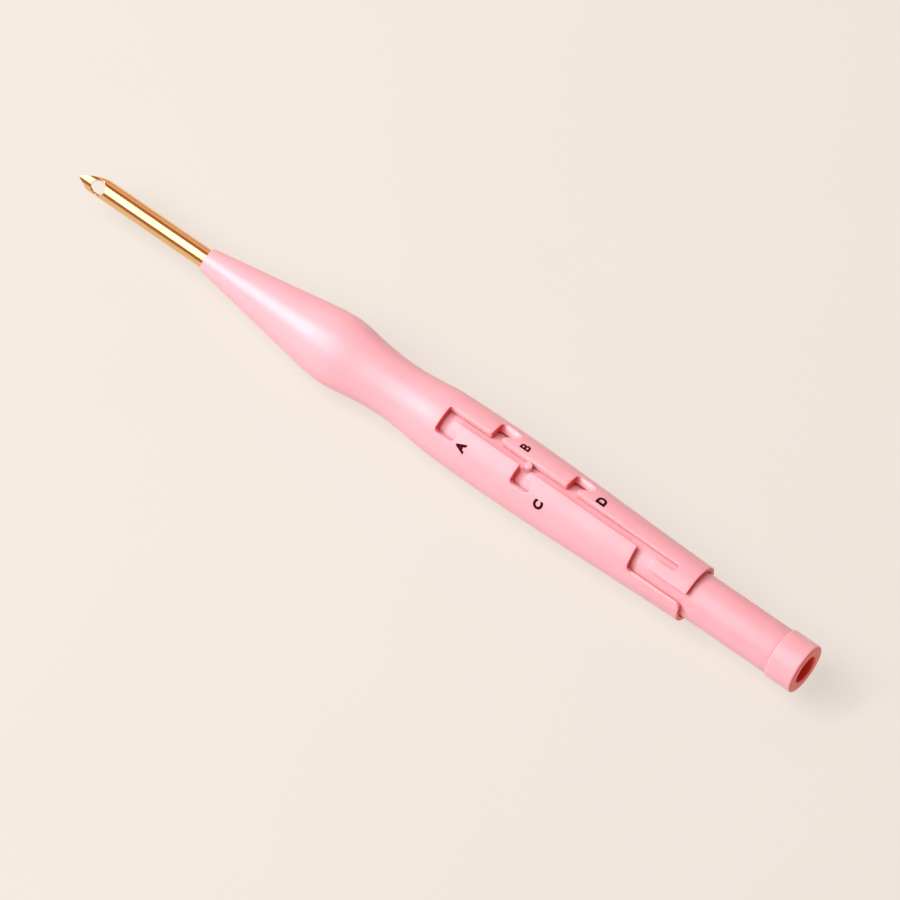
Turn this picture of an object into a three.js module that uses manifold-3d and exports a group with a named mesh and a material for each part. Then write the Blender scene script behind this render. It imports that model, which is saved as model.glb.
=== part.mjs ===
// Adjustable punch needle, the pen-shaped tool for looped embroidery and rug work.
// A hollow needle is carried by a plunger tube that slides and turns in a slotted handle.
// A stud on the plunger drops into one of four side pockets, and that sets the length of the loops.
//
// Millimetres, +Z up. The tool's axis is X, with the needle toward -X and the yarn bore toward +X.
// Lengths along the axis are stations, counted from the needle's point. The origin is on the axis,
// halfway along. The long slot, called the track, is at the top. Angles round the axis are in degrees
// from the top, and positive toward -Y.

import * as THREE from 'three';
import { mergeVertices } from 'three/addons/utils/BufferGeometryUtils.js';
import Module from 'manifold-3d';

const LENGTH = 170;

// Handle. Each outline point is [station, diameter].
const NOSE_CONE = [[29.6, 4.9], [38.4, 7.7], [50, 11.4], [57.8, 13.85]];
const BULGE = [
  [57.8, 13.85], [59.7, 14.15], [61.6, 14.2], [63.6, 13.8], [66.5, 12.85], [70.4, 12.0], [74, 11.6],
];
const WAIST = [[74, 11.6], [77.2, 11.8], [81, 12.5], [84.9, 13.35], [88.8, 13.6]];
const HANDLE_END = [144.3, 11.9];
const NOSE_RIM = 0.15;
const PLUNGER_BORE = 10.1;
const PLUNGER_BORE_START = 55;
const BORE_CONE = 2.6;
const NEEDLE_BORE = 4.3;

// Slots in the handle's barrel.
const POCKET_ANGLE = 33;
const TRACK_WIDTH = 1.9;
const TRACK_END = 140.2;
const BRANCH_WIDTH = 2.4;
const POCKET_WIDTH = 2.2;
const POCKET_LENGTH = 4.3;
const SETTINGS = [
  { front: 86.4, side: 1 },
  { front: 96.0, side: -1 },
  { front: 104.0, side: 1 },
  { front: 113.6, side: -1 },
];
const ENTRY = { front: 131.4, tooth: 135.2, angle: 44.6, width: 2.8 };

// Plunger: tube, end collar and locking stud.
const TUBE = { start: 76, end: 164.0, outer: 9.6, inner: 7.6 };
const COLLAR = { start: 164.3, outer: 10.3, bore: 5.8, edge: 0.3, edgeMiddle: 0.09, chamfer: 0.35 };
const SPIGOT = { start: 157, outer: 7.0 };
const STUD = { diameter: 1.4, foot: 4.05, top: 6.45 };
const STUD_HOLE = 2.0;
const STUD_STATION = SETTINGS[2].front + BRANCH_WIDTH / 2;

// Needle and the bush that holds it. The point has a flank on each side: a bow is where the flank's
// curve is pulled to, as parts of the flank's length and of the needle's radius.
const NEEDLE = { outer: 4.0, inner: 3.2, end: 86 };
const EYE = { station: 4.4, diameter: 3.0, angle: 35 };
const GRIND_ANGLE = 21;
const POINT = { drop: 0.7, upper: 5.4, upperBow: [0.32, 0.53], lower: 3.3, lowerBow: [0.45, 0.75] };
const BEVEL = { height: 1.7, end: 8.0 };
const HOLDER = { start: 73, flange: 2.7, outer: 9.6, spigot: 7.0, end: 88, bore: 4.6 };

// How round things are: segments round the axis, and steps in a curve of an outline.
const ROUND = 48;
const NEEDLE_ROUND = 24;
const CURVE_STEPS = 8;
// Cutters reach past the walls by these amounts.
const REACH = 3;
const MARGIN = 1;
const NEEDLE_MARGIN = 0.5;

const PINK = { color: 0xf7aeb8, roughness: 0.28, metalness: 0 };
const DEEP_PINK = { color: 0xf2a3ae, roughness: 0.32, metalness: 0 };
const GOLD = { color: 0xd79a52, roughness: 0.22, metalness: 1 };

const { Manifold, Mesh: ManifoldMesh } = await loadManifold();

async function loadManifold() {
  const library = await Module();
  library.setup();
  return library;
}

const radians = THREE.MathUtils.degToRad;
const x = (station) => station - LENGTH / 2;

function toSolid(geometry) {
  const bare = geometry.index ? geometry.toNonIndexed() : geometry.clone();
  bare.deleteAttribute('normal');
  bare.deleteAttribute('uv');
  const merged = mergeVertices(bare, 1e-4);
  const mesh = { numProp: 3, vertProperties: merged.attributes.position.array };
  mesh.triVerts = new Uint32Array(merged.index.array);
  return new Manifold(new ManifoldMesh(mesh));
}

function toGeometry(solid) {
  const mesh = solid.getMesh();
  const geometry = new THREE.BufferGeometry();
  geometry.setAttribute('position', new THREE.BufferAttribute(mesh.vertProperties, 3));
  geometry.setIndex(new THREE.BufferAttribute(mesh.triVerts, 1));
  geometry.computeVertexNormals();
  return geometry;
}

// Turns a closed outline of [station, radius] points about the tool's axis. It starts half a segment
// round, so that a flat facet is at the bottom and the tool lies still.
function turned(outline, segments = ROUND) {
  const points = outline.map(([station, radius]) => new THREE.Vector2(radius, x(station)));
  points.push(points[0].clone());
  return toSolid(new THREE.LatheGeometry(points, segments, Math.PI / segments).rotateZ(-Math.PI / 2));
}

// A smooth run through points of [station, diameter], given back as [station, radius].
function smoothRun(points) {
  const through = points.map(([station, diameter]) => new THREE.Vector2(station, diameter / 2));
  return new THREE.SplineCurve(through).getPoints(CURVE_STEPS).map((point) => [point.x, point.y]);
}

// Extrudes a flat shape of (x, across) along the radius that stands at an angle from the top.
function radialPrism(shape, angle, bottom, top) {
  const flat = new THREE.ExtrudeGeometry(shape, {
    depth: top - bottom,
    bevelEnabled: false,
    curveSegments: CURVE_STEPS,
  });
  return toSolid(flat.translate(0, 0, bottom).rotateX(radians(angle)));
}

// A slot along the axis with round ends.
function slotShape(start, end, width) {
  const radius = width / 2;
  const shape = new THREE.Shape();
  shape.absarc(x(start) + radius, 0, radius, Math.PI / 2, 1.5 * Math.PI, false);
  shape.absarc(x(end) - radius, 0, radius, -Math.PI / 2, Math.PI / 2, false);
  shape.closePath();
  return shape;
}

// A wedge of a ring round the axis: it cuts a branch between two angles.
function ringWedge(start, end, fromAngle, toAngle) {
  const inner = PLUNGER_BORE / 2 - MARGIN;
  const outer = HANDLE_END[1] / 2 + REACH;
  // Seen along the axis, the shape's first coordinate is up and its second is -Y.
  const shape = new THREE.Shape();
  shape.absarc(0, 0, outer, radians(fromAngle), radians(toAngle), false);
  shape.absarc(0, 0, inner, radians(toAngle), radians(fromAngle), true);
  shape.closePath();
  const wedge = new THREE.ExtrudeGeometry(shape, {
    depth: end - start,
    bevelEnabled: false,
    curveSegments: CURVE_STEPS,
  });
  const turn = new THREE.Matrix4().makeBasis(
    new THREE.Vector3(0, 0, 1), new THREE.Vector3(0, -1, 0), new THREE.Vector3(1, 0, 0));
  return toSolid(wedge.applyMatrix4(turn).translate(x(start), 0, 0));
}

// An axial slot cut right through the barrel's wall.
function barrelSlot(start, end, width, angle) {
  const inner = PLUNGER_BORE / 2 - MARGIN;
  const outer = HANDLE_END[1] / 2 + REACH;
  return radialPrism(slotShape(start, end, width), angle, inner, outer);
}

function handleBody() {
  const [front, frontDiameter] = NOSE_CONE[0];
  const [end, endDiameter] = HANDLE_END;
  const outside = [
    [front, frontDiameter / 2 - NOSE_RIM],
    [front + NOSE_RIM, frontDiameter / 2],
    ...smoothRun(NOSE_CONE).slice(1),
    ...smoothRun(BULGE).slice(1),
    ...smoothRun(WAIST).slice(1),
    [end, endDiameter / 2],
  ];
  const inside = [
    [end, PLUNGER_BORE / 2],
    [PLUNGER_BORE_START, PLUNGER_BORE / 2],
    [PLUNGER_BORE_START - BORE_CONE, NEEDLE_BORE / 2],
    [front, NEEDLE_BORE / 2],
  ];
  return turned([...outside, ...inside]);
}

// The side pocket of one setting: a branch out of the track, and a pocket that runs back from it.
function settingSlot({ front, side }) {
  const angle = side * POCKET_ANGLE;
  const pocket = barrelSlot(front, front + POCKET_LENGTH, POCKET_WIDTH, angle);
  const branch = ringWedge(front, front + BRANCH_WIDTH, Math.min(0, angle), Math.max(0, angle));
  return pocket.add(branch);
}

// The way in for the stud: a channel from the barrel's rear end, and a branch up into the track.
function entrySlot() {
  const beyond = HANDLE_END[0] + REACH;
  const channel = barrelSlot(ENTRY.front, beyond, ENTRY.width, ENTRY.angle);
  const branch = ringWedge(ENTRY.front, ENTRY.tooth, 0, ENTRY.angle);
  return channel.add(branch);
}

function handle() {
  const track = barrelSlot(SETTINGS[0].front, TRACK_END, TRACK_WIDTH, 0);
  const cuts = SETTINGS.map(settingSlot).reduce((all, cut) => all.add(cut), track.add(entrySlot()));
  return handleBody().subtract(cuts);
}

function plungerTube() {
  const { start, end, outer, inner } = TUBE;
  const tube = turned([
    [start, inner / 2],
    [start, outer / 2],
    [end, outer / 2],
    [end, inner / 2],
  ]);
  return tube.subtract(studPin(STUD_HOLE, inner / 2 - MARGIN, outer / 2 + MARGIN));
}

// A round pin along the radius at the top of the track, at the stud's station.
function studPin(diameter, bottom, top) {
  const circle = new THREE.Shape().absarc(x(STUD_STATION), 0, diameter / 2, 0, 2 * Math.PI, false);
  return radialPrism(circle, 0, bottom, top);
}

function endCollar() {
  const { start, outer, bore, edge, edgeMiddle, chamfer } = COLLAR;
  const skin = outer / 2;
  return turned([
    [SPIGOT.start, bore / 2],
    [SPIGOT.start, SPIGOT.outer / 2],
    [start, SPIGOT.outer / 2],
    [start, skin - edge],
    [start + edgeMiddle, skin - edgeMiddle],
    [start + edge, skin],
    [LENGTH - edge, skin],
    [LENGTH - edgeMiddle, skin - edgeMiddle],
    [LENGTH, skin - edge],
    [LENGTH, bore / 2 + chamfer],
    [LENGTH - chamfer, bore / 2],
  ]);
}

function needleHolder() {
  const { start, flange, outer, spigot, end, bore } = HOLDER;
  return turned([
    [start, bore / 2],
    [start, outer / 2],
    [start + flange, outer / 2],
    [start + flange, spigot / 2],
    [end, spigot / 2],
    [end, bore / 2],
  ]);
}

// Extrudes a flat shape of (x, up) to both sides of the plane that stands at an angle from the top.
function sidePrism(shape, angle, reach) {
  const flat = new THREE.ExtrudeGeometry(shape, { depth: 2 * reach, bevelEnabled: false });
  return toSolid(flat.translate(0, 0, -reach).rotateX(Math.PI / 2 + radians(angle)));
}

// What the grinding leaves of the needle's tip, seen from over the bevel: a long flank on one side
// and a shorter one on the other, which meet in an off-centre point.
function pointedTip() {
  const radius = NEEDLE.outer / 2;
  const side = radius + NEEDLE_MARGIN;
  const behind = x(NEEDLE.end) + MARGIN;
  const [upperAlong, upperAcross] = POINT.upperBow;
  const [lowerAlong, lowerAcross] = POINT.lowerBow;
  const shape = new THREE.Shape();
  shape.moveTo(x(0), -POINT.drop);
  shape.quadraticCurveTo(x(lowerAlong * POINT.lower), -lowerAcross * radius, x(POINT.lower), -side);
  shape.lineTo(behind, -side);
  shape.lineTo(behind, side);
  shape.lineTo(x(POINT.upper) + MARGIN, side);
  shape.lineTo(x(POINT.upper), radius);
  shape.quadraticCurveTo(x(upperAlong * POINT.upper), upperAcross * radius, x(0), -POINT.drop);
  return radialPrism(shape, GRIND_ANGLE, -side, side);
}

// The bevel opens the tube on the far side of the point from the eye.
function bevelCut() {
  const side = NEEDLE.outer / 2 + NEEDLE_MARGIN;
  const shape = new THREE.Shape();
  shape.moveTo(x(0), BEVEL.height);
  shape.lineTo(x(-MARGIN), BEVEL.height);
  shape.lineTo(x(-MARGIN), -side);
  shape.lineTo(x(BEVEL.end), -side);
  return sidePrism(shape, GRIND_ANGLE, side);
}

function needle() {
  const { outer, inner, end } = NEEDLE;
  const tube = turned([
    [0, inner / 2],
    [0, outer / 2],
    [end, outer / 2],
    [end, inner / 2],
  ], NEEDLE_ROUND);
  const circle = new THREE.Shape().absarc(x(EYE.station), 0, EYE.diameter / 2, 0, 2 * Math.PI, false);
  const eye = radialPrism(circle, EYE.angle, 0, outer);
  return tube.intersect(pointedTip()).subtract(bevelCut().add(eye));
}

function piece(name, solid, look) {
  const mesh = new THREE.Mesh(toGeometry(solid), new THREE.MeshStandardMaterial(look));
  mesh.name = name;
  return mesh;
}

const punchNeedle = new THREE.Group();
punchNeedle.add(
  piece('handle', handle(), PINK),
  piece('plunger_tube', plungerTube(), PINK),
  piece('end_collar', endCollar(), DEEP_PINK),
  piece('locking_stud', studPin(STUD.diameter, STUD.foot, STUD.top), PINK),
  piece('needle', needle(), GOLD),
  piece('needle_holder', needleHolder(), DEEP_PINK),
);

export default punchNeedle;
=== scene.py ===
"""The looks of the adjustable punch needle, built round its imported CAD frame.

The tool's axis is X, with the needle towards -X. Shapes are worked out in millimetres, as stations
along the axis, counted from the needle's point, and as radii and arcs round the axis. Arcs count
from the top of the tool, and are positive towards -Y, the side of settings A and C.
"""

import math
from collections import namedtuple

import bmesh
import bpy
import numpy as np
from mathutils import Matrix, Vector
from mathutils.geometry import delaunay_2d_cdt


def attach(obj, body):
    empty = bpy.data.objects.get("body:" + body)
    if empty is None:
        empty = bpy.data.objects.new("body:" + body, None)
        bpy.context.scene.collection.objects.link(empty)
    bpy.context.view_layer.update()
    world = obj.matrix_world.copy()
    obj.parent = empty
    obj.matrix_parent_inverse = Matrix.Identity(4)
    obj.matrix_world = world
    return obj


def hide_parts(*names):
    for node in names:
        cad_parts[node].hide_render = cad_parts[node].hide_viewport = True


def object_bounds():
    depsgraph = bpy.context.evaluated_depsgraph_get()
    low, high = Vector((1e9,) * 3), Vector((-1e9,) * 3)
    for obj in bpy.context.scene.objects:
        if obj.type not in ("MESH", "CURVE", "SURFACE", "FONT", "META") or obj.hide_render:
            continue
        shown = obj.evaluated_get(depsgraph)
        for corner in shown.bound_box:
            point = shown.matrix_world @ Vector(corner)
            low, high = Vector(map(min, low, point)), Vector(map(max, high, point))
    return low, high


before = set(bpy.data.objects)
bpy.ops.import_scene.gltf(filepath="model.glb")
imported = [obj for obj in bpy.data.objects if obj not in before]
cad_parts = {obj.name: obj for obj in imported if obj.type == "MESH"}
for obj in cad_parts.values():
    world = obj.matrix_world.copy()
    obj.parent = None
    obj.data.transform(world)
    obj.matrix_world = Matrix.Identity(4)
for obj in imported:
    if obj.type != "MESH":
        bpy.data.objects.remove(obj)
CAD_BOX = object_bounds()

MM = 0.001
LOW, HIGH = (Vector(corner) / MM for corner in CAD_BOX)
LENGTH = HIGH.x - LOW.x

# How near two points of a path, or two vertices, are when they count as one, and the cosine of half
# the angle at a corner that counts as straight.
SAME_POINT = 1e-4
TURNED_WELD = 0.0004
DRAWN_WELD = 0.002
STRAIGHT = 1e-4

# Walls that are drawn flat: the facets of an edge's rounding, the bevel in the bore as a share of the
# rounding, and how clear the points that fill a wall keep of its edges and of its plain end, as shares
# of a column and a row. Distances to an edge are worked out for a chunk of its points at a time.
EDGE_STEPS = 5
BORE_BEVEL = 0.3
EDGE_CLEARANCE = 0.45
END_CLEARANCE = 0.4
FILL_TOLERANCE = 1e-7
PATH_CHUNK = 64

# Handle: (station, diameter) points of its outside, and its bore.
HANDLE_OUTSIDE = [
    (29.6, 4.9), (38.4, 7.7), (50, 11.4), (57.8, 13.85), (59.7, 14.15), (61.6, 14.2), (63.6, 13.8),
    (66.5, 12.85), (70.4, 12.0), (74, 11.6), (77.2, 11.8), (81, 12.5), (84.9, 13.35), (88.8, 13.6),
    (144.3, 11.9),
]
HANDLE_START = HANDLE_OUTSIDE[0][0]
HANDLE_END = HANDLE_OUTSIDE[-1][0]
PROFILE_STEP = 0.5
BORE_START = 55
BORE_CONE = 2.6
BORE_RADIUS = 5.05
NEEDLE_BORE_RADIUS = 2.15
NOSE_RIM = 0.16
NOSE_LENGTH = 1

# The handle is turned up to this station. From there on its wall is drawn flat, with its slots. The
# turned outside keeps a gap to the nose's rim and to this station.
SLOTTED_FROM = 82
RIM_GAP = 0.2
SLOTTED_GAP = 0.1
HANDLE_SEGMENTS = 144
HANDLE_ROW = 0.9
SLOT_ROUNDING = 0.2

# Slots, drawn flat at a reference radius. They are where the CAD has them, but the tongues at B and D
# end in a slant. A setting has the station of its front wall and its side of the track.
REFERENCE_RADIUS = 6.5
SETTINGS = {"A": (86.4, 1), "B": (96.0, -1), "C": (104.0, 1), "D": (113.6, -1)}
TRACK_HALF = 0.94
TRACK_END = 140.2
BRANCH = 2.4
POCKET_LENGTH = 4.3
POCKET_HALF = 1.08
POCKET_ANGLE = 33
TONGUE_SLANT = 0.75
ENTRY_FRONT = 131.4
ENTRY_LEAN = 0.4
TOOTH = 135.2
ENTRY_ANGLE = 44.6
ENTRY_HALF = 1.4

# Setting letters: station, angle, and their outline's smoothness and boldness. A bolder B would cross
# itself. To bend round the barrel, they are cut along a grid of small squares that reaches past them.
SETTING_LETTERS = {
    "A": (92.55, 38.9, 6, 0.06),
    "B": (102.6, -21.5, 2, 0.03),
    "C": (111.05, 45.9, 6, 0.065),
    "D": (120.6, -21.6, 6, 0.06),
}
LETTER_HEIGHT = 2.05
LETTER_REACH = 1.5
LETTER_SQUARE = 0.12
LETTER_WELD = 1e-5
CUT_TOLERANCE = 1e-4
INK_ABOVE = 0.018
INK_BELOW = 0.012

# Needle. Its wall is drawn flat from the tip to a station, and turned from there on.
NEEDLE_RADIUS = 2.0
NEEDLE_WALL = 0.4
NEEDLE_END = 86
SHAFT_FROM = 12
NEEDLE_SEGMENTS = 96
NEEDLE_ROW = 0.25
TIP_ROUNDING = 0.07
SHAFT_ROUNDING = 0.1

# Its tip as it is seen from over the ground bevel. The eye stands a little lower. The bows are the
# control points of the two flanks' curves, along and across, as shares of the flank's length and the
# needle's radius.
EYE_STATION = 4.4
EYE_RADIUS = 1.5
EYE_ANGLE = 35
EYE_STEPS = 72
GRIND_ANGLE = 21
POINT_DROP = 0.7
POINT_UPPER = 5.4
POINT_LOWER = 3.3
UPPER_BOW = (0.32, 0.53)
LOWER_BOW = (0.45, 0.75)
PAST_SIDE = 0.5
BEVEL_HEIGHT = 1.7
BEVEL_END = 8.0
FLANK_SAMPLES = 60
TIP_SAMPLES = (90, 120)
TIP_STEP = 0.1
TIP_SOFTENING = 6

# The plunger's round pieces: (station, radius, rounding) corners of their outlines.
TUBE_RADIUS = 4.8
TUBE_OUTLINE = [
    (76.0, 3.8, 0.15), (76.0, TUBE_RADIUS, 0.3), (164.0, TUBE_RADIUS, 0.15), (164.0, 3.8, 0.1),
]
COLLAR_OUTLINE = [
    (157, 2.85, 0.1), (157, 3.5, 0.2), (164.05, 3.5, 0), (164.05, 5.15, 0.3),
    (LENGTH, 5.15, 0.45), (LENGTH, 2.85, 0.35),
]
BUSH_OUTLINE = [
    (73, 2.3, 0.2), (73, 4.8, 0.4), (75.7, 4.8, 0.15), (75.7, 3.5, 0), (88, 3.5, 0.4), (88, 2.3, 0.2),
]

# Stud: its radius, its heights over the tool's axis, and its fillet as points outward from its side
# and upward from the tube's skin.
STUD_RADIUS = 0.78
STUD_FOOT = 4.05
STUD_TOP = 6.45
STUD_RIM = 0.2
STUD_RIM_STEPS = 6
STUD_CROWN = 0.03
STUD_FILLET = [(0, -0.1), (0.18, -0.02), (0.06, 0.04), (0, 0.18)]
STUD_SEGMENTS = 48

# The names of the mesh attributes that mark where shade is painted, on walls and bores, and where light
# is painted, on the sides of slots, and how the marks come up with the direction that a face looks in.
PAINTED_SHADE_MARK = "wall"
PAINTED_LIGHT_MARK = "side"
REARWARD_FROM = 0.55
REARWARD_OVER = 0.35
INWARD_OVER = 0.5
SIDEWAYS_WITHIN = 0.6

# Colours that vary a little, as (deep, light) pairs.
HANDLE_PINK = ((0.95, 0.46, 0.53), (0.97, 0.49, 0.565))
TUBE_PINK = ((0.95, 0.45, 0.52), (0.97, 0.48, 0.555))
COLLAR_PINK = ((0.95, 0.49, 0.56), (0.97, 0.52, 0.59))
# Painted shade: the deep red of walls, bores and faces that look back along the tool.
PAINTED_SHADE_RED = ((0.82, 0.075, 0.055), (0.86, 0.10, 0.075))
# Painted light: the pale pink of the sides of slots that run along the tool.
PAINTED_LIGHT_PINK = ((0.97, 0.80, 0.84), (0.98, 0.83, 0.87))
GOLD = ((0.82, 0.47, 0.19), (0.93, 0.60, 0.29))
DARK_INK = ((0.035, 0.001, 0.002), (0.075, 0.003, 0.007))
PAPER = ((0.19, 0.175, 0.16), (0.20, 0.185, 0.17))

# Roughness of the plastics, and how far it strays below and above.
HANDLE_ROUGHNESS = 0.34
TUBE_ROUGHNESS = 0.34
COLLAR_ROUGHNESS = 0.32
SMOOTHER = 0.04
ROUGHER = 0.05

# Floor, with its half width in metres, and world.
FLOOR_GLOW = (0.98, 0.93, 0.855, 1)
FLOOR_GLOW_STRENGTH = 0.65
FLOOR_HALF_WIDTH = 1.5
FLOOR_CELLS = 24
WORLD_COLOUR = (1.0, 0.59, 0.52, 1)
WORLD_STRENGTH = 0.35

# Softboxes: name, direction from the tool, distance and size along and across in metres, power and
# colour.
SOFTBOXES = [
    ("key", (-0.616, -0.295, 0.731), 0.8, (0.14, 0.55), 4.5, (1.0, 0.98, 0.96)),
    ("softbox", (-0.3, -0.35, 0.89), 0.6, (0.34, 0.7), 2.4, (1.0, 0.99, 0.98)),
    ("warm_side", (-0.2, 0.85, 0.42), 0.7, (0.5, 0.4), 0.42, (1.0, 0.60, 0.40)),
]

# Camera: how far it leans from straight above towards the rear and the side, the slope of the tool's
# axis in the image, its lens and sensor, the width it takes in, what it aims at, right and up, and how
# far it sees, in metres.
CAMERA_TILT = 15.15
CAMERA_SIDE = 21.0
AXIS_SLOPE = 34.45
LENS = 800.0
SENSOR = 36.0
FRAME_WIDTH = 168.5
AIM_RIGHT = 1.44
AIM_UP = -5.45
CAMERA_REACH = 10


# ---------------------------------------------------------------- small helpers


def on_tool(station, radius, angle):
    """The point at a station, radius and angle round the axis, in metres."""
    x = LOW.x + station
    return Vector((x, -radius * math.sin(angle), radius * math.cos(angle))) * MM


def round_angles(segments, start=0.0):
    """Evenly spread angles for a whole turn."""
    return [2 * math.pi * j / segments + start for j in range(segments)]


def share(value, full):
    """How much of the way from 0 to full a value has come, from 0 to 1."""
    return min(1.0, max(0.0, value / full))


def smooth_profile(points, step):
    """A smooth curve through (station, diameter) points, as arrays of stations and radii."""
    at = np.array([p[0] for p in points], float)
    radius = np.array([p[1] for p in points], float) / 2
    slope = np.gradient(radius, at)
    stations = np.linspace(at[0], at[-1], int(round((at[-1] - at[0]) / step)) + 1)
    k = np.clip(np.searchsorted(at, stations, side="right") - 1, 0, len(at) - 2)
    width = at[k + 1] - at[k]
    t = (stations - at[k]) / width
    radii = (
        (1 + 2 * t) * (1 - t) ** 2 * radius[k]
        + t * (1 - t) ** 2 * width * slope[k]
        + t * t * (3 - 2 * t) * radius[k + 1]
        - t * t * (1 - t) * width * slope[k + 1]
    )
    return stations, radii


def new_object(name, data):
    """An object in the scene's own collection."""
    piece = bpy.data.objects.new(name, data)
    bpy.context.scene.collection.objects.link(piece)
    return piece


def finish_mesh(name, mesh_data, weld=TURNED_WELD):
    """Welds a bmesh, turns its faces outwards and makes it a smooth-shaded object."""
    bmesh.ops.remove_doubles(mesh_data, verts=mesh_data.verts, dist=weld * MM)
    bmesh.ops.recalc_face_normals(mesh_data, faces=mesh_data.faces)
    mesh = bpy.data.meshes.new(name)
    mesh_data.to_mesh(mesh)
    mesh_data.free()
    mesh.polygons.foreach_set("use_smooth", [True] * len(mesh.polygons))
    return new_object(name, mesh)


# ---------------------------------------------------------------- flat paths


def corner_arc(here, before, after, radius, arc_step):
    """The points of a rounded corner, between the directions to the points before and after it."""
    half = before.angle(after) / 2
    if radius <= 0 or math.cos(half) < STRAIGHT:
        return [here]
    centre = here + (before + after).normalized() * (radius / math.sin(half))
    first = here + before * (radius / math.tan(half)) - centre
    sweep = math.pi - 2 * half
    turn = 1 if before.cross(after) < 0 else -1
    steps = max(2, math.ceil(math.degrees(sweep) / arc_step))
    arc = []
    for j in range(steps + 1):
        t = turn * sweep * j / steps
        spun = (first.x * math.cos(t) - first.y * math.sin(t),
                first.x * math.sin(t) + first.y * math.cos(t))
        arc.append(centre + Vector(spun))
    return arc


def rounded(corners, closed=False, step=0.5, arc_step=12):
    """A path through (across, along, radius) corners, with each corner rounded to its radius."""
    count = len(corners)
    path = []
    for i, (a, b, radius) in enumerate(corners):
        here = Vector((a, b))
        if not closed and i in (0, count - 1):
            path.append(here)
            continue
        before = Vector(corners[i - 1][:2]) - here
        after = Vector(corners[(i + 1) % count][:2]) - here
        before.normalize()
        after.normalize()
        path += corner_arc(here, before, after, radius, arc_step)
    return resampled(path, step, closed)


def resampled(path, step, closed=False):
    """The same path with extra points, so that no stretch is longer than step."""
    points = []
    ends = path[1:] + (path[:1] if closed else [])
    for here, there in zip(path, ends):
        parts = max(1, math.ceil((there - here).length / step))
        points += [here.lerp(there, j / parts) for j in range(parts)]
    if not closed:
        points.append(path[-1])
    kept = [points[0]]
    for point in points[1:]:
        if (point - kept[-1]).length > SAME_POINT:
            kept.append(point)
    if closed and (kept[0] - kept[-1]).length < SAME_POINT:
        kept.pop()
    return np.array([tuple(p) for p in kept])


def softened(path, rounds):
    """The path with its corners worn round, its ends kept."""
    for _ in range(rounds):
        middle = 0.5 * path[1:-1] + 0.25 * (path[:-2] + path[2:])
        path = np.concatenate([path[:1], middle, path[-1:]])
    return path


def offset(path, distance, closed):
    """The path moved to its left by a distance. An open path ends at the seam, and stays square to it."""
    if closed:
        tangent = np.roll(path, -1, axis=0) - np.roll(path, 1, axis=0)
    else:
        tangent = np.gradient(path, axis=0)
        tangent[[0, -1]] = path[-1] - path[0]
    normal = np.stack([-tangent[:, 1], tangent[:, 0]], axis=1)
    return path + distance * normal / np.linalg.norm(normal, axis=1)[:, None]


def inside(points, polygon):
    """Which points lie inside a closed polygon."""
    here = np.zeros(len(points), bool)
    ax, ay = polygon.T
    bx, by = np.roll(polygon, -1, axis=0).T
    for x0, y0, x1, y1 in zip(ax, ay, bx, by):
        if y0 == y1:
            continue
        crosses = (y0 > points[:, 1]) != (y1 > points[:, 1])
        here ^= crosses & (points[:, 0] < (x1 - x0) * (points[:, 1] - y0) / (y1 - y0) + x0)
    return here


def between(points, border, holes):
    """Which points lie inside a border and outside every hole."""
    kept = inside(points, border)
    for hole in holes:
        kept &= ~inside(points, hole)
    return kept


def distance_to(points, path):
    """How far each point is from the nearest point of a path."""
    nearest = np.full(len(points), np.inf)
    for start in range(0, len(path), PATH_CHUNK):
        part = path[start:start + PATH_CHUNK]
        gap = np.linalg.norm(points[:, None] - part[None], axis=2).min(axis=1)
        nearest = np.minimum(nearest, gap)
    return nearest


# ---------------------------------------------------------------- turned shapes


def rows_of_rings(outline, angles):
    """A ring of points round the axis for every (station, radius) of an outline."""
    return [[on_tool(s, r, t) for t in angles] for s, r in outline]


def add_rings(mesh_data, rings, closed):
    """Joins rings of equally many points with faces. A closed run joins its last ring to its first."""
    made = [[mesh_data.verts.new(p) for p in ring] for ring in rings]
    pairs = list(zip(made, made[1:]))
    if closed:
        pairs.append((made[-1], made[0]))
    for one, two in pairs:
        for j in range(len(one)):
            k = (j + 1) % len(one)
            mesh_data.faces.new((one[j], one[k], two[k], two[j]))
    return made


def turned(name, corners, segments=128, step=1.5, arc_step=15):
    """A solid of revolution about the tool's axis, from (station, radius, rounding) corners."""
    outline = rounded(corners, closed=True, step=step, arc_step=arc_step)
    mesh_data = bmesh.new()
    add_rings(mesh_data, rows_of_rings(outline, round_angles(segments)), closed=True)
    return finish_mesh(name, mesh_data)


# ---------------------------------------------------------------- walls drawn flat and wrapped round


# A drawn wall: the radius where its arcs are true, the functions that give its outer and inner radius
# at a station, the rounding of its edges, and 1, or -1 where stations are mirrored because the shaped
# end is the front one.
Wall = namedtuple("Wall", "reference outer inner rounding sign")


def wrap(wall, path, surface, sunk=0.0):
    """The tool's points for drawn (arc, station) points, on a surface of the wall or sunk below it."""
    return [on_tool(wall.sign * s, surface(wall.sign * s) - sunk, a / wall.reference) for a, s in path]


def wall_border(inset, start, columns, row_count):
    """A drawn wall's border: its inset edge, down the seam, along the plain end and up the seam."""
    rows = np.linspace(start, inset[-1][1], row_count)
    left = [(columns[0], s) for s in rows[-2:0:-1]]
    right = [(columns[-1], s) for s in rows[1:-1]]
    bottom = [(a, start) for a in columns]
    return np.array(list(map(tuple, inset)) + left + bottom + right)


def wall_grid(border, lines, start, top, columns, row_count, row_step):
    """Points that fill a drawn wall evenly. lines are its edge and holes, which they keep clear of."""
    across, along = np.meshgrid(columns[1:-1], np.linspace(start, top, row_count * 2)[1::2])
    grid = np.stack([across.ravel(), along.ravel()], axis=1)
    grid = grid[between(grid, border, lines[1:])]
    spacing = EDGE_CLEARANCE * (columns[1] - columns[0])
    for line in lines:
        grid = grid[distance_to(grid, line) > spacing]
    return grid[(grid[:, 1] - start) > END_CLEARANCE * row_step]


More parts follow.
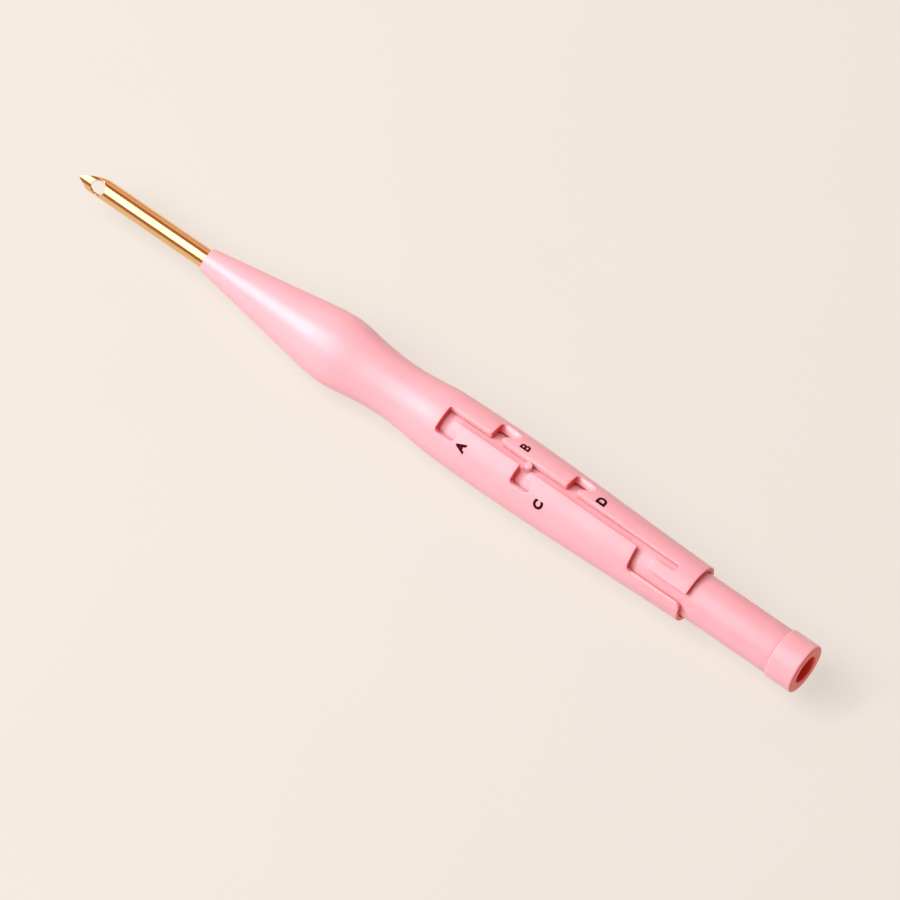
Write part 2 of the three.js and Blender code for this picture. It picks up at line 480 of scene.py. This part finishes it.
def filled(border, holes, grid):
    """Triangles between a border and its holes: the points, the triangles, and each loop's points."""
    points = [Vector(p) for p in border]
    loops = [list(range(len(border)))]
    for hole in holes:
        loops.append(list(range(len(points), len(points) + len(hole))))
        points += [Vector(p) for p in hole]
    edges = [(loop[j], loop[(j + 1) % len(loop)]) for loop in loops for j in range(len(loop))]
    points += [Vector(p) for p in grid]
    flat, _, triangles, origin, _, _ = delaunay_2d_cdt(points, edges, [], 0, FILL_TOLERANCE)
    flat = np.array([tuple(p) for p in flat])
    centres = np.array([flat[list(t)].mean(axis=0) for t in triangles])
    solid = between(centres, border, holes)
    found = {given: made for made, many in enumerate(origin) for given in many}
    kept = [triangle for triangle, is_solid in zip(triangles, solid) if is_solid]
    return flat, kept, [[found[i] for i in loop] for loop in loops]


def add_soft_edge(mesh_data, wall, path, outside, bore, closed):
    """Rounds an edge of a wall, from the vertices on its outside to those in its bore."""
    rings = []
    for j in range(1, EDGE_STEPS + 1):
        t = math.pi / 2 * j / EDGE_STEPS
        line = offset(path, wall.rounding * (1 - math.sin(t)), closed)
        rings.append(wrap(wall, line, wall.outer, wall.rounding * (1 - math.cos(t))))
    bevel = BORE_BEVEL * wall.rounding
    rings.append(wrap(wall, path, wall.inner, -wall.rounding))
    rings.append(wrap(wall, offset(path, bevel, closed), wall.inner, -bevel))
    previous = outside
    for ring in [[mesh_data.verts.new(p) for p in ring] for ring in rings] + [bore]:
        stretches = len(ring) if closed else len(ring) - 1
        for j in range(stretches):
            k = (j + 1) % len(ring)
            mesh_data.faces.new((previous[j], previous[k], ring[k], ring[j]))
        previous = ring


def add_wall(mesh_data, wall, edge, holes, plain_end, segments, row_step):
    """A tube's wall with a shaped end and holes.

    edge is the shaped end, a path of (arc, station) points from one side of the seam to the other, with
    the wall on its left. holes are closed paths with the wall on their left. plain_end is the station
    of the other end, which is left open in two rings.
    """
    half_turn = math.pi * wall.reference
    columns = np.linspace(-half_turn, half_turn, segments + 1)
    start = wall.sign * plain_end
    insets = [offset(edge, wall.rounding, closed=False)]
    insets += [offset(hole, wall.rounding, closed=True) for hole in holes]
    row_count = max(2, int((insets[0][-1][1] - start) / row_step)) + 1
    border = wall_border(insets[0], start, columns, row_count)
    grid = wall_grid(border, insets, start, edge[:, 1].max(), columns, row_count, row_step)
    flat, triangles, loops = filled(border, insets[1:], grid)

    outside = [mesh_data.verts.new(p) for p in wrap(wall, flat, wall.outer)]
    bore = [mesh_data.verts.new(p) for p in wrap(wall, flat, wall.inner)]
    for triangle in triangles:
        mesh_data.faces.new([outside[i] for i in triangle])
        mesh_data.faces.new([bore[i] for i in reversed(triangle)])
    loops[0] = loops[0][:len(edge)]
    for number, (path, loop) in enumerate(zip([edge] + holes, loops)):
        above, below = [outside[i] for i in loop], [bore[i] for i in loop]
        add_soft_edge(mesh_data, wall, path, above, below, closed=number > 0)


# ---------------------------------------------------------------- the handle


HANDLE_PROFILE = smooth_profile(HANDLE_OUTSIDE, PROFILE_STEP)


def handle_radius(station):
    """The handle's outside radius at a station."""
    return float(np.interp(station, *HANDLE_PROFILE))


def pocket_corners(setting):
    """The corners of a setting's branch and pocket, as (arc, station, rounding).

    They go from the track's rear side round to its front side. On the other side of the track their
    order is turned round, and the tongue between the track and the pocket ends in a slant.
    """
    front, side = SETTINGS[setting]
    middle = math.radians(POCKET_ANGLE) * REFERENCE_RADIUS
    near, far = middle - POCKET_HALF, middle + POCKET_HALF
    back = front + POCKET_LENGTH
    slant = 0 if side > 0 else TONGUE_SLANT
    corners = [
        (TRACK_HALF, front + BRANCH - slant, 0.4),
        (near, front + BRANCH + slant, 0.4),
        (near, back, 0.98),
        (far, back, 0.98),
        (far, front, 0.9),
        (TRACK_HALF, front, 0.35),
    ]
    corners = [(side * a, s, r) for a, s, r in corners]
    return corners if side > 0 else corners[::-1]


def slotted_edge():
    """The rear edge of the barrel with all its slots, as one path with the wall on its left."""
    half_turn = math.pi * REFERENCE_RADIUS
    middle = math.radians(ENTRY_ANGLE) * REFERENCE_RADIUS
    near, far = middle - ENTRY_HALF, middle + ENTRY_HALF
    corners = [
        (half_turn, HANDLE_END, 0),
        (far, HANDLE_END, 1.1),
        (far, ENTRY_FRONT + ENTRY_LEAN, 1.2),
        (TRACK_HALF, ENTRY_FRONT, 0.4),
    ]
    corners += pocket_corners("C")
    corners += pocket_corners("A")[:-1]
    corners.append((-TRACK_HALF, SETTINGS["A"][0], 0.6))
    corners += pocket_corners("B")
    corners += pocket_corners("D")
    corners += [
        (-TRACK_HALF, TRACK_END, 0.8),
        (TRACK_HALF, TRACK_END, 0.8),
        (TRACK_HALF, TOOTH, 0.7),
        (near, TOOTH, 0.5),
        (near, HANDLE_END, 0.35),
        (-half_turn, HANDLE_END, 0),
    ]
    return rounded(corners, step=0.4)


def make_handle():
    """The handle, turned in front and drawn flat and wrapped round where it has its slots."""
    mesh_data = bmesh.new()
    wall = Wall(REFERENCE_RADIUS, handle_radius, lambda station: BORE_RADIUS, SLOT_ROUNDING, 1)
    add_wall(mesh_data, wall, slotted_edge(), [], SLOTTED_FROM, HANDLE_SEGMENTS, HANDLE_ROW)
    front = rounded([
        (SLOTTED_FROM, BORE_RADIUS, 0),
        (BORE_START, BORE_RADIUS, 0.8),
        (BORE_START - BORE_CONE, NEEDLE_BORE_RADIUS, 0.8),
        (HANDLE_START, NEEDLE_BORE_RADIUS, 0.12),
        (HANDLE_START, handle_radius(HANDLE_START), NOSE_RIM),
        (HANDLE_START + NOSE_LENGTH, handle_radius(HANDLE_START + NOSE_LENGTH), 0),
    ], step=1.2)
    outside = [
        (s, r) for s, r in zip(*HANDLE_PROFILE)
        if HANDLE_START + NOSE_LENGTH + RIM_GAP < s < SLOTTED_FROM - SLOTTED_GAP
    ]
    outside.append((SLOTTED_FROM, handle_radius(SLOTTED_FROM)))
    outline = list(map(tuple, front)) + outside
    rings = rows_of_rings(outline, round_angles(HANDLE_SEGMENTS, -math.pi))
    add_rings(mesh_data, rings, closed=False)
    # The handle's walls and bore get painted shade, and the sides of its slots get painted light.
    return mark_painted_shade_and_light(finish_mesh("slotted_handle", mesh_data, DRAWN_WELD))


# ---------------------------------------------------------------- the needle


def tip_station(turn):
    """Where the needle's wall starts, at an angle from the middle of the grinding."""
    lateral = -NEEDLE_RADIUS * math.sin(turn)
    height = NEEDLE_RADIUS * math.cos(turn)
    side = NEEDLE_RADIUS + PAST_SIDE
    t = np.linspace(0, 1, FLANK_SAMPLES)
    if lateral > -POINT_DROP:
        bow_along, bow_across = UPPER_BOW
        across = (NEEDLE_RADIUS * t * t + 2 * t * (1 - t) * bow_across * NEEDLE_RADIUS
                  - POINT_DROP * (1 - t) ** 2)
        along = POINT_UPPER * t * t + 2 * t * (1 - t) * bow_along * POINT_UPPER
        flank = np.interp(lateral, across, along)
    else:
        bow_along, bow_across = LOWER_BOW
        across = (POINT_DROP * (1 - t) ** 2 + 2 * t * (1 - t) * bow_across * NEEDLE_RADIUS
                  + side * t * t)
        along = POINT_LOWER * (2 * t * (1 - t) * bow_along + t * t)
        flank = np.interp(-lateral, across, along)
    bevel = BEVEL_END * (BEVEL_HEIGHT - height) / (BEVEL_HEIGHT + side)
    return max(float(flank), bevel)


def tip_edge():
    """The needle's ground tip as a path round the tube, with mirrored stations."""
    point = math.asin(POINT_DROP / NEEDLE_RADIUS)
    one_side = np.linspace(math.pi, point, TIP_SAMPLES[0])
    other_side = np.linspace(point, -math.pi, TIP_SAMPLES[1])
    turns = np.concatenate([one_side, other_side[1:]])
    path = [Vector((turn * NEEDLE_RADIUS, -tip_station(turn))) for turn in turns]
    return softened(resampled(path, TIP_STEP), TIP_SOFTENING)


def eye_edge():
    """The needle's eye, round as it is seen from over it, as a closed path with mirrored stations."""
    middle = NEEDLE_RADIUS * math.radians(EYE_ANGLE - GRIND_ANGLE)
    eye = []
    for j in range(EYE_STEPS):
        t = -2 * math.pi * j / EYE_STEPS
        arc = NEEDLE_RADIUS * math.asin(EYE_RADIUS * math.sin(t) / NEEDLE_RADIUS)
        eye.append((middle + arc, -EYE_STATION - EYE_RADIUS * math.cos(t)))
    return np.array(eye)


def make_needle():
    """The hollow needle, drawn round its eye and tip with the grinding on top, then turned to its side."""
    bore = NEEDLE_RADIUS - NEEDLE_WALL
    mesh_data = bmesh.new()
    wall = Wall(NEEDLE_RADIUS, lambda station: NEEDLE_RADIUS, lambda station: bore, TIP_ROUNDING, -1)
    add_wall(mesh_data, wall, tip_edge(), [eye_edge()], SHAFT_FROM, NEEDLE_SEGMENTS, NEEDLE_ROW)
    shaft = rounded([
        (SHAFT_FROM, NEEDLE_RADIUS, 0),
        (NEEDLE_END, NEEDLE_RADIUS, SHAFT_ROUNDING),
        (NEEDLE_END, bore, SHAFT_ROUNDING),
        (SHAFT_FROM, bore, 0),
    ], step=2.0)
    rings = rows_of_rings(shaft, round_angles(NEEDLE_SEGMENTS, -math.pi))
    add_rings(mesh_data, rings, closed=False)
    needle = finish_mesh("eyed_needle", mesh_data, DRAWN_WELD)
    needle.data.transform(Matrix.Rotation(math.radians(GRIND_ANGLE), 4, "X"))
    return needle


# ---------------------------------------------------------------- the plunger's stud


def make_stud():
    """A round pin on top of the tube, with a worn rim and a fillet at its foot."""
    station = SETTINGS["C"][0] + BRANCH / 2
    x = LOW.x + station
    outline = [(STUD_RADIUS, STUD_FOOT)]
    outline += [(STUD_RADIUS + outward, TUBE_RADIUS + upward) for outward, upward in STUD_FILLET]
    for j in range(STUD_RIM_STEPS + 1):
        t = math.pi / 2 * j / STUD_RIM_STEPS
        radius = STUD_RADIUS - STUD_RIM * (1 - math.cos(t))
        outline.append((radius, STUD_TOP - STUD_RIM + STUD_RIM * math.sin(t)))
    mesh_data = bmesh.new()
    made = add_rings(mesh_data, [
        [Vector((x + r * math.cos(t), r * math.sin(t), z)) * MM for t in round_angles(STUD_SEGMENTS)]
        for r, z in outline
    ], closed=False)
    for ring, height in ((made[0], STUD_FOOT), (made[-1], STUD_TOP + STUD_CROWN)):
        middle = mesh_data.verts.new(Vector((x, 0, height)) * MM)
        for j in range(STUD_SEGMENTS):
            mesh_data.faces.new((ring[j], ring[(j + 1) % STUD_SEGMENTS], middle))
    return finish_mesh("depth_stud", mesh_data)


# ---------------------------------------------------------------- the setting letters


def flat_letter(text, smoothness, boldness):
    """A capital as a flat bmesh of the right height, centred on the middle of its height."""
    curve = bpy.data.curves.new("setting_" + text, "FONT")
    curve.body = text
    curve.align_x = "CENTER"
    curve.resolution_u = smoothness
    curve.offset = boldness
    written = new_object("setting_letter_" + text, curve)
    bpy.context.view_layer.update()
    flat = bpy.data.meshes.new_from_object(written)
    bpy.data.objects.remove(written)
    mesh_data = bmesh.new()
    mesh_data.from_mesh(flat)
    bpy.data.meshes.remove(flat)
    bmesh.ops.remove_doubles(mesh_data, verts=mesh_data.verts, dist=LETTER_WELD)
    tops = [v.co.y for v in mesh_data.verts]
    scale = LETTER_HEIGHT / (max(tops) - min(tops))
    middle = (max(tops) + min(tops)) / 2
    for vert in mesh_data.verts:
        vert.co = Vector((vert.co.x * scale, (vert.co.y - middle) * scale, 0))
    return mesh_data


def cut_up(mesh_data):
    """Cuts a flat letter along a grid of small squares, and into triangles."""
    for axis in (Vector((1, 0, 0)), Vector((0, 1, 0))):
        for cut in np.arange(-LETTER_REACH, LETTER_REACH, LETTER_SQUARE):
            geometry = mesh_data.verts[:] + mesh_data.edges[:] + mesh_data.faces[:]
            bmesh.ops.bisect_plane(
                mesh_data, geom=geometry, plane_co=axis * cut, plane_no=axis, dist=CUT_TOLERANCE)
    bmesh.ops.triangulate(mesh_data, faces=mesh_data.faces)


def make_letter(text, station, angle, smoothness, boldness):
    """A printed capital whose top points to the needle, laid on the barrel as a thin film of ink."""
    mesh_data = flat_letter(text, smoothness, boldness)
    cut_up(mesh_data)
    film = bmesh.ops.extrude_face_region(mesh_data, geom=mesh_data.faces[:])
    raised = {item for item in film["geom"] if isinstance(item, bmesh.types.BMVert)}
    centre = math.radians(angle)
    for vert in mesh_data.verts:
        # The letter's right side is towards +Y, which is a smaller angle.
        at = station - vert.co.y
        turn = centre - vert.co.x / handle_radius(station)
        height = INK_ABOVE if vert in raised else -INK_BELOW
        vert.co = on_tool(at, handle_radius(at) + height, turn)
    return finish_mesh("setting_letter_" + text, mesh_data, DRAWN_WELD)


# ---------------------------------------------------------------- materials


def mark_painted_shade_and_light(piece):
    """Marks each point of a piece, from 0 to 1, for the colours of its material.

    The wall mark is for painted shade, a deep red, in a bore and where a face looks back along the tool.
    The side mark is for painted light, a pale pink, on the side of a slot that runs along the tool.
    """
    mesh = piece.data
    walls = mesh.attributes.new(PAINTED_SHADE_MARK, "FLOAT", "POINT")
    sides = mesh.attributes.new(PAINTED_LIGHT_MARK, "FLOAT", "POINT")
    for vert in mesh.vertices:
        outward = Vector((0, vert.co.y, vert.co.z)).normalized()
        facing = vert.normal.dot(outward)
        rearward = share(vert.normal.x - REARWARD_FROM, REARWARD_OVER)
        walls.data[vert.index].value = max(rearward, share(-facing, INWARD_OVER))
        tilt = abs(facing) / SIDEWAYS_WITHIN + abs(vert.normal.x) / SIDEWAYS_WITHIN
        sides.data[vert.index].value = max(0.0, 1 - tilt)
    return piece


def give(node, values):
    """Sets sockets of a node from a dictionary of their names and values."""
    for name, value in values.items():
        node.inputs[name].default_value = value


def material(name, values):
    """A material whose shader has the values given, with its node tree and its shader."""
    made = bpy.data.materials.new(name)
    made.use_nodes = True
    shader = made.node_tree.nodes["Principled BSDF"]
    give(shader, values)
    return made, made.node_tree, shader


def noise(tree, scale, detail):
    """Noise fixed to the object's own coordinates, with its scale in cells per metre."""
    place = tree.nodes.new("ShaderNodeTexCoord")
    made = tree.nodes.new("ShaderNodeTexNoise")
    give(made, {"Scale": scale, "Detail": detail})
    tree.links.new(place.outputs["Object"], made.inputs["Vector"])
    return made


def ramp(tree, source, colours, low=0.3, high=0.7):
    """A colour over a node's value, from the deep one of a pair at low to the light one at high."""
    made = tree.nodes.new("ShaderNodeValToRGB")
    for element, position, colour in zip(made.color_ramp.elements, (low, high), colours):
        element.position = position
        element.color = (*colour, 1)
    tree.links.new(source.outputs["Fac"], made.inputs["Fac"])
    return made


def bump(tree, shader, source, strength, distance):
    """A slight relief on a material's surface, from a node's value."""
    made = tree.nodes.new("ShaderNodeBump")
    give(made, {"Strength": strength, "Distance": distance})
    tree.links.new(source.outputs["Fac"], made.inputs["Height"])
    tree.links.new(made.outputs["Normal"], shader.inputs["Normal"])


def marked(tree, mark, plain, coloured):
    """One colour where a mesh attribute is 0, and another where it is 1."""
    value = tree.nodes.new("ShaderNodeAttribute")
    value.attribute_name = mark
    made = tree.nodes.new("ShaderNodeMixRGB")
    tree.links.new(value.outputs["Fac"], made.inputs["Fac"])
    tree.links.new(plain.outputs["Color"], made.inputs["Color1"])
    tree.links.new(coloured.outputs["Color"], made.inputs["Color2"])
    return made


def pink_plastic(name, colours, roughness):
    """Moulded pink plastic with a slight cloudiness in its colour and a faint orange peel on its skin.

    Light comes through it a little. Marked walls and bores get painted shade, a deeper red, and marked
    sides of slots get painted light, a lighter pink.
    """
    made, tree, shader = material(name, {
        "Roughness": roughness,
        "Subsurface Weight": 0.5,
        "Subsurface Radius": (1.0, 0.2, 0.18),
        "Subsurface Scale": 0.0016,
        "IOR": 1.49,
    })
    cloud = noise(tree, scale=90, detail=4)
    # Painted light on the sides of slots, then painted shade on walls, bores and faces that look back.
    painted_light_mix = marked(tree, PAINTED_LIGHT_MARK, ramp(tree, cloud, colours), ramp(tree, cloud, PAINTED_LIGHT_PINK))
    colour = marked(tree, PAINTED_SHADE_MARK, painted_light_mix, ramp(tree, cloud, PAINTED_SHADE_RED))
    tree.links.new(colour.outputs["Color"], shader.inputs["Base Color"])
    gloss = noise(tree, scale=260, detail=3)
    spread = tree.nodes.new("ShaderNodeMapRange")
    give(spread, {"To Min": roughness - SMOOTHER, "To Max": roughness + ROUGHER})
    tree.links.new(gloss.outputs["Fac"], spread.inputs["Value"])
    tree.links.new(spread.outputs["Result"], shader.inputs["Roughness"])
    skin = noise(tree, scale=1400, detail=2)
    bump(tree, shader, skin, strength=0.06, distance=0.00004)
    return made


def gold_metal():
    """Polished gold-coloured metal with fine drawing lines along the tube."""
    made, tree, shader = material("polished_gold_metal", {"Roughness": 0.16, "Metallic": 1.0})
    place = tree.nodes.new("ShaderNodeTexCoord")
    stretch = tree.nodes.new("ShaderNodeMapping")
    lines = tree.nodes.new("ShaderNodeTexNoise")
    give(stretch, {"Scale": (0.03, 1, 1)})
    give(lines, {"Scale": 6000})
    tree.links.new(place.outputs["Object"], stretch.inputs["Vector"])
    tree.links.new(stretch.outputs["Vector"], lines.inputs["Vector"])
    tint = ramp(tree, lines, GOLD, low=0.35, high=0.65)
    tree.links.new(tint.outputs["Color"], shader.inputs["Base Color"])
    bump(tree, shader, lines, strength=0.03, distance=0.00001)
    return made


def setting_ink():
    """Dark setting ink, a little thin in places."""
    made, tree, shader = material("dark_setting_ink", {"Roughness": 0.6, "Specular IOR Level": 0.06})
    patch = noise(tree, scale=4000, detail=2)
    colour = ramp(tree, patch, DARK_INK, low=0.3, high=0.75)
    tree.links.new(colour.outputs["Color"], shader.inputs["Base Color"])
    bump(tree, shader, patch, strength=0.1, distance=0.00001)
    return made


def floor_paper():
    """Pale paper that glows a little, as on a light table, so that shadows on it stay faint."""
    made, tree, shader = material("pale_floor", {
        "Roughness": 0.9,
        "Specular IOR Level": 0.0,
        "Emission Color": FLOOR_GLOW,
        "Emission Strength": FLOOR_GLOW_STRENGTH,
    })
    paper = ramp(tree, noise(tree, scale=14, detail=3), PAPER)
    tree.links.new(paper.outputs["Color"], shader.inputs["Base Color"])
    return made


# ---------------------------------------------------------------- camera, floor and light


def oriented(place, right, up, out):
    """The placing of an object with its own X, Y and Z along three directions."""
    return Matrix.Translation(place) @ Matrix((right, up, out)).transposed().to_4x4()


def make_camera():
    """A long lens over the tool, turned so that the needle is at the upper left."""
    tilt = math.radians(CAMERA_TILT)
    side = math.radians(CAMERA_SIDE)
    slope = math.radians(AXIS_SLOPE)
    back = Vector((math.sin(tilt), -math.cos(tilt) * math.sin(side), math.cos(tilt) * math.cos(side)))
    # The image's right and up directions, such that the tool's axis falls to the right at the slope.
    axis_on_image = (Vector((1, 0, 0)) - back * back.x).normalized()
    upward = back.cross(axis_on_image)
    right = axis_on_image * math.cos(slope) + upward * math.sin(slope)
    up = upward * math.cos(slope) - axis_on_image * math.sin(slope)
    aim = right * (AIM_RIGHT * MM) + up * (AIM_UP * MM)
    distance = FRAME_WIDTH * MM * LENS / SENSOR
    data = bpy.data.cameras.new("camera")
    data.lens = LENS
    data.sensor_width = SENSOR
    data.clip_end = CAMERA_REACH
    camera = new_object("camera", data)
    camera.matrix_world = oriented(aim + back * distance, right, up, back)
    bpy.context.scene.camera = camera


def make_floor():
    """The sheet of paper that the tool lies on."""
    mesh_data = bmesh.new()
    bmesh.ops.create_grid(
        mesh_data, x_segments=FLOOR_CELLS, y_segments=FLOOR_CELLS, size=FLOOR_HALF_WIDTH)
    floor = finish_mesh("floor", mesh_data)
    floor.location.z = LOW.z * MM
    floor.data.materials.append(floor_paper())


def make_softbox(name, away, distance, size, power, colour):
    """A softbox in a direction away from the tool, with its own X as near the tool's axis as it can be."""
    data = bpy.data.lights.new(name, "AREA")
    data.shape = "RECTANGLE"
    data.size, data.size_y = size
    data.energy = power
    data.color = colour
    lamp = new_object(name, data)
    outward = Vector(away).normalized()
    along = (Vector((1, 0, 0)) - outward * outward.x).normalized()
    lamp.matrix_world = oriented(outward * distance, along, outward.cross(along), outward)


def make_lights():
    """The softboxes and the even light of the room."""
    for softbox in SOFTBOXES:
        make_softbox(*softbox)
    world = bpy.data.worlds.new("studio")
    bpy.context.scene.world = world
    world.use_nodes = True
    give(world.node_tree.nodes["Background"], {"Color": WORLD_COLOUR, "Strength": WORLD_STRENGTH})


# ---------------------------------------------------------------- the scene


def place(piece, body, node, slot, look):
    """Gives a piece its look and its place among the tool's bodies and nodes. The slot is not used."""
    piece.data.materials.append(look)
    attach(piece, body)
    if node:
        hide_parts(node)


def make_tool():
    """All the tool's pieces. The letters replace no CAD piece."""
    handle_look = pink_plastic("handle_plastic", HANDLE_PINK, HANDLE_ROUGHNESS)
    tube_look = pink_plastic("tube_plastic", TUBE_PINK, TUBE_ROUGHNESS)
    collar_look = pink_plastic("collar_plastic", COLLAR_PINK, COLLAR_ROUGHNESS)
    place(make_handle(), "handle", "handle", "handle_plastic", handle_look)
    tube = turned("plunger_barrel", TUBE_OUTLINE)
    place(tube, "plunger", "plunger_tube", "tube_plastic", tube_look)
    # The collar's rear face and bore get painted shade.
    collar = mark_painted_shade_and_light(turned("rear_collar", COLLAR_OUTLINE, step=0.8, arc_step=9))
    place(collar, "plunger", "end_collar", "collar_plastic", collar_look)
    place(make_stud(), "plunger", "locking_stud", "tube_plastic", tube_look)
    place(make_needle(), "plunger", "needle", "needle_metal", gold_metal())
    bush = turned("needle_bush", BUSH_OUTLINE)
    place(bush, "carrier", "needle_holder", "collar_plastic", collar_look)
    ink = setting_ink()
    for text, how in SETTING_LETTERS.items():
        place(make_letter(text, *how), "handle", None, "setting_ink", ink)


bpy.context.scene.view_settings.view_transform = "Standard"
make_camera()
make_floor()
make_lights()
make_tool()
